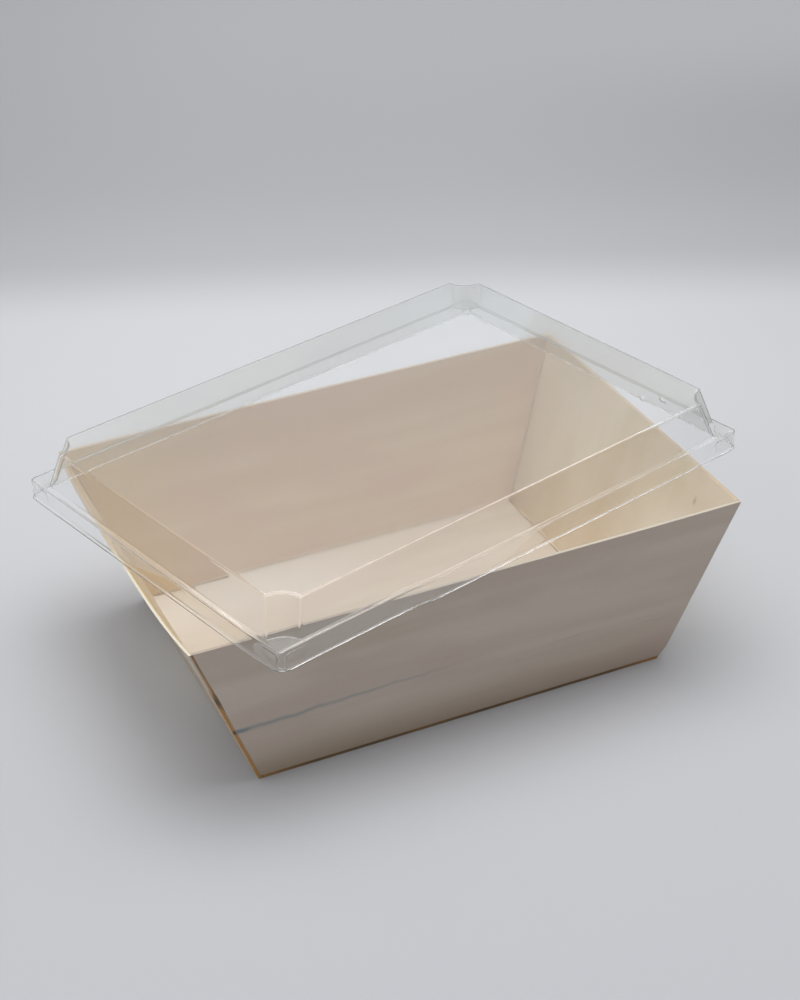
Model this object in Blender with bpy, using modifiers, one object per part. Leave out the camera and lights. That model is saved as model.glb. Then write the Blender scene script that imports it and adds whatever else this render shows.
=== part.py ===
"""Tapered veneer tray with a one-piece clear lid lying askew on its rim.

Units are metres and +Z is up. The origin is the centre of the tray's underside, +X runs along the
front panel to the right, and the front panel faces -Y.
"""
import math

import bmesh
import bpy
from mathutils import Matrix, Vector

# Tray: outer sizes, measured over the panels
RIM_LENGTH = 0.200
RIM_WIDTH = 0.141
BASE_LENGTH = 0.154
BASE_WIDTH = 0.119
TRAY_HEIGHT = 0.065
VENEER = 0.0012
JOINT_GAP = 0.0003
EDGE_BREAK = 0.0001
EDGE_BREAK_ANGLE = math.radians(40)

# How far each wall's rim bows outward, midway along the wall
FRONT_BOW = 0.0006
BACK_BOW = 0.0004
LEFT_BOW = 0.0026
RIGHT_BOW = 0.0003
BOW_POWER = 4

# Glue beads in the inner seams
GLUE_BEAD = 0.0010
CORNER_BEAD_TOP_DROP = 0.0040
BEAD_END_SETBACK = GLUE_BEAD + 2 * JOINT_GAP

# Lid: one formed sheet, with the inside radius of each bend
LID_SHEET = 0.00045
SKIRT_CLEARANCE = 0.0009
FLANGE_FLAT = 0.0007
WALL_DRAFT = 0.0032
DECK_RISE = 0.0136
SKIRT_DROP = 0.0071
DECK_CORNER_CUT = 0.0081
WALL_FOOT_CORNER_CUT = 0.0070
CORNER_SCOOP = 0.0020
FLANGE_CORNER_RADIUS = 0.0022
SKIRT_CORNER_RADIUS = 0.0040
DECK_EDGE_BEND = 0.00065
WALL_FOOT_BEND = 0.0006
FLANGE_EDGE_BEND = 0.00045
LIP_BEND = 0.0006
LIP_FLAT = 0.0003

# Snap lugs: dents in the skirt beside each corner, with their upper and lower ramps
LUG_LENGTH = 0.0085
LUG_DEPTH = 0.0007
LUG_RAMP = 0.0008
LUG_HEIGHT_SHARES = (0.08, 0.24, 0.70, 0.86)

# How the lid lies on the tray
LID_SHIFT_BACK = 0.0030
LID_TURN = math.radians(15.8)

# Counts
ALONG_CUTS = 11
UP_CUTS = 3
CORNER_STEPS = 6
ROUND_STEPS = 3
SIDE_STEPS = 4
BEAD_SIDES = 8

WOOD_FACE = (0.62, 0.49, 0.35, 1.0)
WOOD_SHADE = (0.55, 0.41, 0.27, 1.0)
WOOD_FLOOR = (0.72, 0.60, 0.45, 1.0)
GLUE_AMBER = (0.42, 0.25, 0.10, 1.0)
CLEAR_SHEET = (0.86, 0.90, 0.91, 1.0)

for old in list(bpy.data.objects):
    bpy.data.objects.remove(old, do_unlink=True)

collection = bpy.data.collections.new("veneer_tray_with_lid")
bpy.context.scene.collection.children.link(collection)


def material(name, colour, roughness, metallic=0.0, transmission=0.0):
    """A Principled material for one piece."""
    made = bpy.data.materials.new(name)
    made.use_nodes = True
    shader = made.node_tree.nodes["Principled BSDF"]
    shader.inputs["Base Color"].default_value = colour
    shader.inputs["Roughness"].default_value = roughness
    shader.inputs["Metallic"].default_value = metallic
    shader.inputs["Transmission Weight"].default_value = transmission
    return made


def add_piece(name, mesh, finish):
    """Puts a mesh in the part's collection as one named piece."""
    mesh.materials.append(finish)
    piece = bpy.data.objects.new(name, mesh)
    collection.objects.link(piece)
    return piece


def mesh_from(bm, name):
    """Turns a bmesh into a mesh."""
    mesh = bpy.data.meshes.new(name)
    bm.to_mesh(mesh)
    bm.free()
    return mesh


def break_edges(piece):
    """Takes the sharpness off a panel's cut edges."""
    bevel = piece.modifiers.new("edge_break", "BEVEL")
    bevel.width = EDGE_BREAK
    bevel.segments = 1
    bevel.limit_method = "ANGLE"
    bevel.angle_limit = EDGE_BREAK_ANGLE


# Tray geometry: the four walls lean out, so each outer face is a plane that these functions give
def half_length(z):
    return (BASE_LENGTH + (RIM_LENGTH - BASE_LENGTH) * z / TRAY_HEIGHT) / 2


def half_width(z):
    return (BASE_WIDTH + (RIM_WIDTH - BASE_WIDTH) * z / TRAY_HEIGHT) / 2


END_LEAN = math.atan2((RIM_LENGTH - BASE_LENGTH) / 2, TRAY_HEIGHT)
SIDE_LEAN = math.atan2((RIM_WIDTH - BASE_WIDTH) / 2, TRAY_HEIGHT)
END_THROUGH = VENEER / math.cos(END_LEAN)
SIDE_THROUGH = VENEER / math.cos(SIDE_LEAN)
WALL_FOOT = VENEER + JOINT_GAP


def bow_at(bow, middle_share, z):
    """Outward bow: none at the floor and the corners, most at the rim's middle."""
    return bow * (z / TRAY_HEIGHT) * (1 - abs(middle_share) ** BOW_POWER)


def subdivided_block():
    """A unit block, cut along its X and Z so that it can follow a bowed wall."""
    bm = bmesh.new()
    bmesh.ops.create_cube(bm, size=1)
    for axis, cuts in ((0, ALONG_CUTS), (2, UP_CUTS)):
        other = [k for k in (0, 1, 2) if k != axis]
        edges = []
        for edge in bm.edges:
            step = edge.verts[1].co - edge.verts[0].co
            if abs(step[other[0]]) + abs(step[other[1]]) < abs(step[axis]):
                edges.append(edge)
        bmesh.ops.subdivide_edges(bm, edges=edges, cuts=cuts, use_grid_fill=True)
    return bm


def long_wall(name, bow, turned, finish):
    """Front or back panel: it butts at its left end and laps at its right end, seen from outside."""
    bm = subdivided_block()
    for vert in bm.verts:
        along, inward, up = (c + 1 / 2 for c in vert.co)
        z = WALL_FOOT + (TRAY_HEIGHT - WALL_FOOT) * up
        start = -(half_length(z) - END_THROUGH - JOINT_GAP)
        end = half_length(z)
        x = start + (end - start) * along
        out = half_width(z) + bow_at(bow, x / half_length(z), z) - SIDE_THROUGH * inward
        vert.co = Vector((x, -out, z))
    if turned:
        bmesh.ops.rotate(bm, verts=bm.verts, matrix=Matrix.Rotation(math.pi, 3, "Z"))
    wall = add_piece(name, mesh_from(bm, name), finish)
    break_edges(wall)
    return wall


def end_wall(name, bow, turned, finish):
    """Left or right end panel: its lapping edge shows at the corner, its other end butts."""
    bm = subdivided_block()
    for vert in bm.verts:
        along, inward, up = (c + 1 / 2 for c in vert.co)
        z = TRAY_HEIGHT * up
        lap = -half_width(z)
        butt = half_width(z) - SIDE_THROUGH - JOINT_GAP
        y = butt + (lap - butt) * along
        out = half_length(z) + bow_at(bow, y / half_width(z), z) - END_THROUGH * inward
        vert.co = Vector((-out, y, z))
    if turned:
        bmesh.ops.rotate(bm, verts=bm.verts, matrix=Matrix.Rotation(math.pi, 3, "Z"))
    wall = add_piece(name, mesh_from(bm, name), finish)
    break_edges(wall)
    return wall


def floor_panel(finish):
    """Flat floor: it fits between the end walls, and the long walls stand on it."""
    bm = bmesh.new()
    bmesh.ops.create_cube(bm, size=1)
    length = 2 * (half_length(0) - END_THROUGH - JOINT_GAP)
    bmesh.ops.scale(bm, verts=bm.verts, vec=(length, BASE_WIDTH, VENEER))
    bmesh.ops.translate(bm, verts=bm.verts, vec=(0, 0, VENEER / 2))
    panel = add_piece("bottom_panel", mesh_from(bm, "bottom_panel"), finish)
    break_edges(panel)
    return panel


def glue_bead(name, start, end, finish):
    """One thin round bead along a straight run."""
    run = end - start
    bm = bmesh.new()
    bmesh.ops.create_cone(
        bm, cap_ends=True, segments=BEAD_SIDES, radius1=GLUE_BEAD / 2, radius2=GLUE_BEAD / 2, depth=run.length
    )
    turn = Vector((0, 0, 1)).rotation_difference(run).to_matrix().to_4x4()
    bmesh.ops.transform(bm, verts=bm.verts, matrix=Matrix.Translation((start + end) / 2) @ turn)
    return add_piece(name, mesh_from(bm, name), finish)


def bead_place(sign_x, sign_y, z):
    """Centre of a bead that lies one gap off both walls of an inner corner at height z."""
    reach = JOINT_GAP + GLUE_BEAD / 2
    x = half_length(z) - END_THROUGH - reach / math.cos(END_LEAN)
    y = half_width(z) - SIDE_THROUGH - reach / math.cos(SIDE_LEAN)
    return Vector((sign_x * x, sign_y * y, z))


def add_glue(finish):
    """Glue in the four upright seams and round the floor."""
    low = VENEER + JOINT_GAP + GLUE_BEAD / 2
    corner_low = low + BEAD_END_SETBACK
    corner_high = TRAY_HEIGHT - CORNER_BEAD_TOP_DROP
    corners = {"front_left": (-1, -1), "front_right": (1, -1), "back_right": (1, 1), "back_left": (-1, 1)}
    for name, signs in corners.items():
        start = bead_place(*signs, corner_low)
        glue_bead(name + "_corner_glue", start, bead_place(*signs, corner_high), finish)
    signs = list(corners.values())
    for k, name in enumerate(("front", "right", "back", "left")):
        start = bead_place(*signs[k], low)
        end = bead_place(*signs[(k + 1) % len(signs)], low)
        step = (end - start).normalized() * BEAD_END_SETBACK
        glue_bead(name + "_floor_glue", start + step, end - step, finish)


# Lid geometry, in the lid's own frame: its underside is at zero height and its centre at the origin
FLANGE_HALF_LENGTH = RIM_LENGTH / 2 + SKIRT_CLEARANCE + LID_SHEET
FLANGE_HALF_WIDTH = RIM_WIDTH / 2 + SKIRT_CLEARANCE + LID_SHEET
WALL_LEAN = math.atan2(WALL_DRAFT, DECK_RISE)
WALL_TURN = math.pi / 2 - WALL_LEAN
DECK_EDGE_RADIUS = DECK_EDGE_BEND + LID_SHEET
FLANGE_EDGE_RADIUS = FLANGE_EDGE_BEND + LID_SHEET
DECK_EDGE_ROLL = DECK_EDGE_RADIUS * math.tan(WALL_TURN / 2)
WALL_FOOT_ROLL = WALL_FOOT_BEND * math.tan(WALL_TURN / 2)
WALL_INSET = FLANGE_EDGE_RADIUS + FLANGE_FLAT + WALL_FOOT_ROLL
DECK_INSET = WALL_INSET + WALL_DRAFT


def round_corner(a, b, radius):
    """Convex corner of a rectangle with half sizes a and b, from its +X side to its +Y side."""
    points = []
    for k in range(CORNER_STEPS + 1):
        angle = math.pi / 2 * k / CORNER_STEPS
        points.append((a - radius + radius * math.cos(angle), b - radius + radius * math.sin(angle)))
    return points


def scooped_corner(a, b, cut):
    """The same corner cut off along a shallow arc that curves in towards the middle."""
    chord = cut * math.sqrt(2)
    radius = chord ** 2 / (8 * CORNER_SCOOP) + CORNER_SCOOP / 2
    half_angle = math.asin(chord / (2 * radius))
    outward = Vector((1, 1)).normalized()
    across = Vector((-1, 1)).normalized()
    centre = Vector((a - cut / 2, b - cut / 2)) + outward * (radius * math.cos(half_angle))
    points = []
    for k in range(CORNER_STEPS + 1):
        angle = half_angle * (2 * k / CORNER_STEPS - 1)
        point = centre - outward * (radius * math.cos(angle)) + across * (radius * math.sin(angle))
        points.append(tuple(point))
    return points


def side_stations(half_straight):
    """Places along a straight side, from its + end to its - end: both lugs and even steps between."""
    near = [0, LUG_RAMP, LUG_LENGTH - LUG_RAMP, LUG_LENGTH]
    ends = [half_straight - d for d in near]
    inner = ends[-1]
    middle = [inner - 2 * inner * k / SIDE_STEPS for k in range(1, SIDE_STEPS)]
    places = ends[1:] + middle + [-e for e in reversed(ends[1:])]
    return [p / half_straight for p in places]


def is_lug(station_index, count):
    """The two stations at each end of a side that a lug's flat face spans."""
    return station_index in (0, 1, count - 2, count - 1)


LENGTH_SHARES = side_stations(FLANGE_HALF_LENGTH - SKIRT_CORNER_RADIUS)
WIDTH_SHARES = side_stations(FLANGE_HALF_WIDTH - SKIRT_CORNER_RADIUS)


def outline(a, b, corner, z, lug=0):
    """One closed ring of the lid, counter-clockwise from the +X side's end."""
    points = []
    for quadrant, (sx, sy) in enumerate(((1, 1), (-1, 1), (-1, -1), (1, -1))):
        arc = [(sx * x, sy * y) for x, y in corner]
        if sx * sy < 0:
            arc.reverse()
        points += arc
        along_x = quadrant in (0, 2)
        shares = LENGTH_SHARES if along_x else WIDTH_SHARES
        reach = abs(corner[-1][0]) if along_x else abs(corner[0][1])
        for k, share in enumerate(shares):
            inset = lug if is_lug(k, len(shares)) else 0
            if along_x:
                points.append((sx * share * reach, sy * (b - inset)))
            else:
                points.append((sx * (a - inset), sy * share * reach))
    return [Vector((x, y, z)) for x, y in points]


def cut_at(z):
    """How far the wall's corner cut reaches along each side at height z."""
    share = (z - SKIRT_DROP) / DECK_RISE
    return WALL_FOOT_CORNER_CUT + (DECK_CORNER_CUT - WALL_FOOT_CORNER_CUT) * share


def wall_ring(inset, z):
    """Ring of the deck, its wall or the wall's foot, with scooped corners."""
    a = FLANGE_HALF_LENGTH - inset
    b = FLANGE_HALF_WIDTH - inset
    return outline(a, b, scooped_corner(a, b, cut_at(z)), z)


def skirt_ring(inset, z, radius, lug=0):
    """Ring of the flange, the skirt or the lip, with round corners."""
    a = FLANGE_HALF_LENGTH - inset
    b = FLANGE_HALF_WIDTH - inset
    return outline(a, b, round_corner(a, b, radius), z, lug)


def lid_rings():
    """Rings of the lid's outer surface, from the deck down to the trimmed lip."""
    rings = []
    # deck edge: rolls from level to the leaning wall
    top = SKIRT_DROP + DECK_RISE
    for k in range(ROUND_STEPS + 1):
        angle = WALL_TURN * k / ROUND_STEPS
        inset = DECK_INSET + DECK_EDGE_ROLL - DECK_EDGE_RADIUS * math.sin(angle)
        rings.append(wall_ring(inset, top - DECK_EDGE_RADIUS * (1 - math.cos(angle))))
    # foot of the wall: rolls back to level on the flange
    for k in range(ROUND_STEPS + 1):
        angle = WALL_TURN * (1 - k / ROUND_STEPS)
        inset = WALL_INSET - WALL_FOOT_ROLL + WALL_FOOT_BEND * math.sin(angle)
        rings.append(wall_ring(inset, SKIRT_DROP + WALL_FOOT_BEND * (1 - math.cos(angle))))
    # flange edge: rolls down into the skirt
    for k in range(ROUND_STEPS + 1):
        angle = math.pi / 2 * k / ROUND_STEPS
        inset = FLANGE_EDGE_RADIUS * (1 - math.sin(angle))
        z = SKIRT_DROP - FLANGE_EDGE_RADIUS * (1 - math.cos(angle))
        rings.append(skirt_ring(inset, z, FLANGE_CORNER_RADIUS))
    # skirt with its lugs, between the flange edge and the lip
    low = LID_SHEET + LIP_BEND
    high = SKIRT_DROP - FLANGE_EDGE_RADIUS
    for share, lug in zip(reversed(LUG_HEIGHT_SHARES), (0, LUG_DEPTH, LUG_DEPTH, 0)):
        rings.append(skirt_ring(0, low + (high - low) * share, SKIRT_CORNER_RADIUS, lug))
    # lip: rolls outward to the trimmed edge
    for k in range(ROUND_STEPS + 1):
        angle = math.pi / 2 * k / ROUND_STEPS
        out = LIP_BEND * (1 - math.cos(angle))
        z = LID_SHEET + LIP_BEND * (1 - math.sin(angle))
        rings.append(skirt_ring(-out, z, SKIRT_CORNER_RADIUS + out))
    lip = LIP_BEND + LIP_FLAT
    rings.append(skirt_ring(-lip, LID_SHEET, SKIRT_CORNER_RADIUS + lip))
    return rings


def add_lid(finish):
    """The formed sheet: a loft through the rings, thickened inward."""
    bm = bmesh.new()
    rows = [[bm.verts.new(point) for point in ring] for ring in lid_rings()]
    bm.faces.new(rows[0])
    for upper, lower in zip(rows, rows[1:]):
        for k in range(len(upper)):
            after = (k + 1) % len(upper)
            bm.faces.new((upper[k], lower[k], lower[after], upper[after]))
    lid = add_piece("lid", mesh_from(bm, "lid"), finish)
    sheet = lid.modifiers.new("sheet", "SOLIDIFY")
    sheet.thickness = LID_SHEET
    sheet.offset = -1
    sheet.use_even_offset = True
    lid.rotation_euler = (0, 0, LID_TURN)
    lid.location = (0, LID_SHIFT_BACK, TRAY_HEIGHT + JOINT_GAP)
    return lid


floor_panel(material("floor_veneer", WOOD_FLOOR, 0.6))
long_wall("front_panel", FRONT_BOW, False, material("front_veneer", WOOD_FACE, 0.6))
long_wall("back_panel", BACK_BOW, True, material("back_veneer", WOOD_FACE, 0.6))
end_wall("left_end_panel", LEFT_BOW, False, material("left_end_veneer", WOOD_SHADE, 0.6))
end_wall("right_end_panel", RIGHT_BOW, True, material("right_end_veneer", WOOD_SHADE, 0.6))
add_glue(material("seam_glue", GLUE_AMBER, 0.3))
add_lid(material("clear_sheet", CLEAR_SHEET, 0.05, transmission=0.9))
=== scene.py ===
# %% [markdown]
# Lesson: a thin wooden food tray with a clear lid
# The real object is a tapered tray of five thin sheets of pale veneer, glued at the corners, and one
# formed sheet of clear plastic that lies askew on its rim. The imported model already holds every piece
# at its real size, so this script only dresses it: finer meshes, wood, clear plastic, glue and light.

# %% Load the frame
import math

import bmesh
import bpy
from mathutils import Matrix, Vector, noise


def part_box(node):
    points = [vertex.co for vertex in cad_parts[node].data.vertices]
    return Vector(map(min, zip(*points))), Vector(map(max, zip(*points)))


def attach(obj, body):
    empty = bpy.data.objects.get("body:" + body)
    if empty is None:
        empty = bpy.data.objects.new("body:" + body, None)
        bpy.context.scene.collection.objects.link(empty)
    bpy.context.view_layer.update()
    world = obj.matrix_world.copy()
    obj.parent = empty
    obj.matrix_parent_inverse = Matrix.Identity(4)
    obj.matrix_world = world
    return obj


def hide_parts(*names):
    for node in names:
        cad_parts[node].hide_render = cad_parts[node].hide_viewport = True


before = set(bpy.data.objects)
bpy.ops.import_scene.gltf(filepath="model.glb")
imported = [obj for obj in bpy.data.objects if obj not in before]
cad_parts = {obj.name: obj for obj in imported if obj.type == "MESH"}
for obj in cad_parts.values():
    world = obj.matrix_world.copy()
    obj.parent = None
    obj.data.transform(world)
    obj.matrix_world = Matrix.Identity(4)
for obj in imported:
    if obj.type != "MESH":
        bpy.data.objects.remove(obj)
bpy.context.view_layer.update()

# %% [markdown]
# The tray's sizes are read from the frame and not typed again. Each wall is a leaning plane, so four
# numbers describe the taper: half the length and half the width, at the rim and at the floor. The
# walls also bow outward a little at the rim, which is how far a panel reaches past its straight rim.

# %% Read the tray's sizes
front_low, front_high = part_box("front_panel")
floor_low, floor_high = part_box("bottom_panel")
left_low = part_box("left_end_panel")[0]
right_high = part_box("right_end_panel")[1]
back_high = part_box("back_panel")[1]

CAD_GAP = 0.0003
TRAY_HEIGHT = front_high.z
VENEER = floor_high.z - floor_low.z
RIM_HALF_LENGTH = front_high.x
RIM_HALF_WIDTH = -left_low.y
BASE_HALF_WIDTH = floor_high.y
BASE_HALF_LENGTH = floor_high.x + CAD_GAP + VENEER
FRONT_BOW = -front_low.y - RIM_HALF_WIDTH
BACK_BOW = back_high.y - RIM_HALF_WIDTH
LEFT_BOW = -left_low.x - RIM_HALF_LENGTH
RIGHT_BOW = right_high.x - RIM_HALF_LENGTH
SEAM = 0.00006

END_LEAN = math.atan2(RIM_HALF_LENGTH - BASE_HALF_LENGTH, TRAY_HEIGHT)
SIDE_LEAN = math.atan2(RIM_HALF_WIDTH - BASE_HALF_WIDTH, TRAY_HEIGHT)
END_THROUGH = VENEER / math.cos(END_LEAN)
SIDE_THROUGH = VENEER / math.cos(SIDE_LEAN)


def half_length(z):
    return BASE_HALF_LENGTH + (RIM_HALF_LENGTH - BASE_HALF_LENGTH) * z / TRAY_HEIGHT


def half_width(z):
    return BASE_HALF_WIDTH + (RIM_HALF_WIDTH - BASE_HALF_WIDTH) * z / TRAY_HEIGHT


print("half rim", round(RIM_HALF_LENGTH, 4), "x", round(RIM_HALF_WIDTH, 4), "left bow", round(LEFT_BOW, 4))

# %% [markdown]
# The camera stands where the photographer's stood. Its place and angles come from fitting the tray's
# corners to the picture, so the model's edges fall on the photographed ones. A matrix made of the
# camera's right, up and backward directions places it without any tracking constraint.

# %% Camera
CAMERA_PLACE = Vector((-0.25128, -0.59843, 0.45518))
CAMERA_YAW = math.radians(23.050)
CAMERA_PITCH = math.radians(-31.664)
CAMERA_ROLL = math.radians(-2.158)
LENS_MM = 77.605
SENSOR_MM = 36


def add_object(name, data):
    """A new object in the scene."""
    made = bpy.data.objects.new(name, data)
    bpy.context.scene.collection.objects.link(made)
    return made


ahead = Vector((
    math.sin(CAMERA_YAW) * math.cos(CAMERA_PITCH),
    math.cos(CAMERA_YAW) * math.cos(CAMERA_PITCH),
    math.sin(CAMERA_PITCH),
))
level_right = Vector((math.cos(CAMERA_YAW), -math.sin(CAMERA_YAW), 0))
rolled = Matrix.Rotation(-CAMERA_ROLL, 3, ahead)
camera_right = rolled @ level_right
camera_up = rolled @ level_right.cross(ahead)
camera_data = bpy.data.cameras.new("camera")
camera_data.lens = LENS_MM
camera_data.sensor_width = SENSOR_MM
camera = add_object("camera", camera_data)
axes = Matrix((camera_right, camera_up, -ahead)).transposed()
camera.matrix_world = Matrix.Translation(CAMERA_PLACE) @ axes.to_4x4()
bpy.context.scene.camera = camera
print("camera looks along", tuple(round(c, 3) for c in ahead))

# %% [markdown]
# Every finish below is a node tree, and plain maths is easier to read than a list of nodes. Value
# wraps one output socket and overloads the operators, so that 1 - mask or a * b adds the Math nodes.
# Ramps and humps turn a place into a soft mask.

# %% Shader maths


def sum_node(operation, swapped=False):
    """A method that adds one Math node for an operator of Value."""
    def method(self, other):
        values = (other, self) if swapped else (self, other)
        return self.math(operation, *values)
    return method


class Value:
    """One output socket of a node tree, which takes part in sums."""

    def __init__(self, owner, socket):
        self.owner = owner
        self.socket = socket

    def math(self, operation, *values):
        return self.owner.node("Math", {"operation": operation}, dict(enumerate(values)))

    __add__ = __radd__ = sum_node("ADD")
    __mul__ = __rmul__ = sum_node("MULTIPLY")
    __sub__ = sum_node("SUBTRACT")
    __rsub__ = sum_node("SUBTRACT", swapped=True)
    __truediv__ = sum_node("DIVIDE")
    __pow__ = sum_node("POWER")

    def size(self):
        return self.math("ABSOLUTE", self)

    def above_zero(self):
        return self.math("MAXIMUM", self, 0.0)

    def clipped(self):
        return self.math("MINIMUM", self.above_zero(), 1.0)

    def ramp(self, low, high):
        """0 below low, 1 above high, and smooth between. With low above high it falls instead."""
        inputs = {"Value": self, "From Min": low, "From Max": high}
        return self.owner.node("MapRange", {"interpolation_type": "SMOOTHSTEP"}, inputs)

    def blend(self, low, high, full=1.0):
        """low at 0, high from full on, and even between."""
        inputs = {"Value": self, "From Max": full, "To Min": low, "To Max": high}
        return self.owner.node("MapRange", {}, inputs)

    def hump(self, centre, width):
        """1 at centre, fading smoothly to 0 at that distance on both sides."""
        return (self - centre).size().ramp(width, 0.0)

    def scaled(self, factors):
        """A vector times a vector."""
        return self.owner.node("VectorMath", {"operation": "MULTIPLY"}, {0: self, 1: factors})

    def shifted(self, other):
        """A vector plus a vector."""
        return self.owner.node("VectorMath", {"operation": "ADD"}, {0: self, 1: other})

    def parts(self):
        """A vector's three parts."""
        return self.owner.node("SeparateXYZ", {}, {0: self}, all_outputs=True)


print("maths of sockets ready")

# %% [markdown]
# Tree holds the nodes themselves, and its node method adds any node: settings first, then inputs,
# where a Value is linked and a number is set. Finish is the tree of one material. A colour is written
# as three numbers, and feed adds the fourth that a colour socket wants.

# %% Node trees


class Tree:
    """A node tree that nodes can be added to."""

    def __init__(self, tree):
        self.tree = tree

    def node(self, kind, settings, inputs, all_outputs=False, output=0):
        made = self.tree.nodes.new("ShaderNode" + kind)
        for name, value in settings.items():
            setattr(made, name, value)
        self.feed(made, inputs)
        if all_outputs:
            return [Value(self, socket) for socket in made.outputs]
        return Value(self, made.outputs[output])

    def feed(self, made, inputs):
        """Links or sets the inputs of a node."""
        for key, value in inputs.items():
            socket = made.inputs[key]
            if isinstance(value, Value):
                self.tree.links.new(value.socket, socket)
            elif socket.type == "RGBA":
                socket.default_value = (*value, 1.0)
            else:
                socket.default_value = value

    def ray(self, kind):
        """1 for rays of one kind and 0 for the others."""
        return self.node("LightPath", {}, {}, output=f"Is {kind} Ray")


class Finish(Tree):
    """One material's tree."""

    def __init__(self, name):
        self.material = bpy.data.materials.new(name)
        self.material.use_nodes = True
        super().__init__(self.material.node_tree)
        self.shader = self.tree.nodes["Principled BSDF"]

    def place(self):
        """The point on the piece, in metres."""
        return self.node("TexCoord", {}, {}, output="Object")

    def facing(self):
        """The direction that the surface faces."""
        return self.node("TexCoord", {}, {}, output="Normal")

    def grain(self, vector, detail=2.0, roughness=0.5):
        """Soft noise from 0 to 1, with one lump to each unit of the vector."""
        inputs = {"Vector": vector, "Scale": 1.0, "Detail": detail, "Roughness": roughness}
        return self.node("TexNoise", {}, inputs)

    def lumps(self, per_metre, detail=2.0, roughness=0.5):
        """The same noise with even lumps, so many to the metre."""
        return self.grain(self.place().scaled((per_metre,) * 3), detail, roughness)

    def mix(self, factor, a, b):
        """A mix of two colours. Sockets 6 and 7 of the Mix node are its colours."""
        return self.node("Mix", {"data_type": "RGBA"}, {0: factor, 6: a, 7: b}, output=2)

    def laid(self, under, place, tone, span, share=1.0):
        """A tone laid over a colour: it comes in over a span of places, up to its share."""
        return self.mix(place.ramp(*span) * share, under, tone)

    def bump(self, height, strength, distance):
        """The surface's direction, tilted by a height."""
        inputs = {"Strength": strength, "Distance": distance, "Height": height}
        return self.node("Bump", {}, inputs)

    def finished(self, inputs):
        """Feeds the shader and gives the material."""
        self.feed(self.shader, inputs)
        return self.material


print("node trees ready")

# %% [markdown]
# The tray stands on a wide sheet of pale, fully matt paper. The real paper rises softly behind the
# tray, which only shows as a darker far part above a blurred line. A real bend would stand in the way
# when the tray is seen from behind, so the sheet stays flat here and its colour makes that change: the
# darker far part is painted shade. Further forward the paper is painted lighter towards the back and
# darker at its sides, as painted light and shade, and a touch lighter right beside the tray's left
# foot, as painted light over the tray's shadow. Far out, paper and room look one even grey, which is a
# plain backdrop from every side.

# %% Floor
FLOOR_REACH = 4.0
FLOOR_CELLS_ACROSS = 8
PAPER_TURN = math.radians(23.05)
PAPER_NEAR = (0.572, 0.579, 0.604)
PAPER_BRIGHT = (0.678, 0.683, 0.708)
PAPER_BEND = (0.513, 0.518, 0.538)
PAPER_FAR = (0.464, 0.468, 0.487)
PAPER_FARTHEST = (0.556, 0.561, 0.580)
PAPER_ROUGHNESS = 0.85
BLACK = (0.0, 0.0, 0.0)
BRIGHT_SPAN = (-0.10, 0.24)
RISE_SPAN = (0.254, 0.328)
BEND_SPAN = (0.29, 0.42)
FAR_SPAN = (0.42, 0.80)
RIGHT_DIM_SPAN = (0.02, 0.28)
RIGHT_DIM_FADE = (0.62, 0.46)
RIGHT_DIM = 0.13
LEFT_DIM_SPAN = (-0.06, -0.30)
LEFT_DIM = 0.08
RIGHT_SKEW_SPAN = (0.0, 0.25)
RIGHT_SKEW = 0.012
PAPER_PAINTED_LIGHT = (0.95, 0.96, 0.98)
LIT_REACH = 0.022
LIT_ALONG = (0.012, 0.055)
LIT_SHARE = 0.42
ROOM_COLOUR = (0.95, 0.975, 1.0)
BACKDROP_LEVEL = 0.43
BACKDROP_SPAN = (0.8, 1.8)


def length_of(a, b):
    """Length of the line with these two parts."""
    return (a * a + b * b) ** 0.5


def paper_finish():
    """Paper that changes along its own length, which lies turned to the tray."""
    paper = Finish("backdrop_paper")
    x, y, z = paper.place().parts()
    run = x * math.sin(PAPER_TURN) + y * math.cos(PAPER_TURN)
    across = x * math.cos(PAPER_TURN) - y * math.sin(PAPER_TURN)
    # Painted light as the paper runs back, then painted shade for the rising backdrop.
    near = paper.laid(PAPER_NEAR, run, PAPER_BRIGHT, BRIGHT_SPAN)
    far = paper.laid(PAPER_BEND, run, PAPER_FAR, BEND_SPAN)
    far = paper.laid(far, run, PAPER_FARTHEST, FAR_SPAN)
    rise = run + across.ramp(*RIGHT_SKEW_SPAN) * RIGHT_SKEW
    colour = paper.mix(rise.ramp(*RISE_SPAN), near, far)
    # Painted shade at both sides, where the light falls off.
    dim = across.ramp(*RIGHT_DIM_SPAN) * run.ramp(*RIGHT_DIM_FADE) * RIGHT_DIM
    dim = dim + across.ramp(*LEFT_DIM_SPAN) * LEFT_DIM
    colour = paper.mix(dim * run.ramp(0.0, BRIGHT_SPAN[1]), colour, BLACK)
    # Painted light beside the tray's left foot, over the tray's shadow.
    gap = length_of((x.size() - BASE_HALF_LENGTH).above_zero(), (y.size() - BASE_HALF_WIDTH).above_zero())
    lit = gap.ramp(LIT_REACH, 0.0) * x.ramp(0.0, -BASE_HALF_LENGTH) * y.hump(*LIT_ALONG) * LIT_SHARE
    colour = paper.mix(lit, colour, PAPER_PAINTED_LIGHT)
    seen = (paper.ray("Camera") + paper.ray("Glossy") + paper.ray("Transmission")).clipped()
    backdrop = length_of(x, y).ramp(*BACKDROP_SPAN) * seen
    glow = paper.mix(backdrop, BLACK, tuple(BACKDROP_LEVEL * c for c in ROOM_COLOUR))
    inputs = {"Base Color": paper.mix(backdrop, colour, BLACK), "Roughness": PAPER_ROUGHNESS}
    inputs.update({"Specular IOR Level": 0.0, "Emission Color": glow, "Emission Strength": 1.0})
    return paper.finished(inputs)


def add_mesh(name, bm):
    """A new object in the scene, made from a finished bmesh."""
    mesh = bpy.data.meshes.new(name)
    bm.to_mesh(mesh)
    bm.free()
    return add_object(name, mesh)


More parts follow.
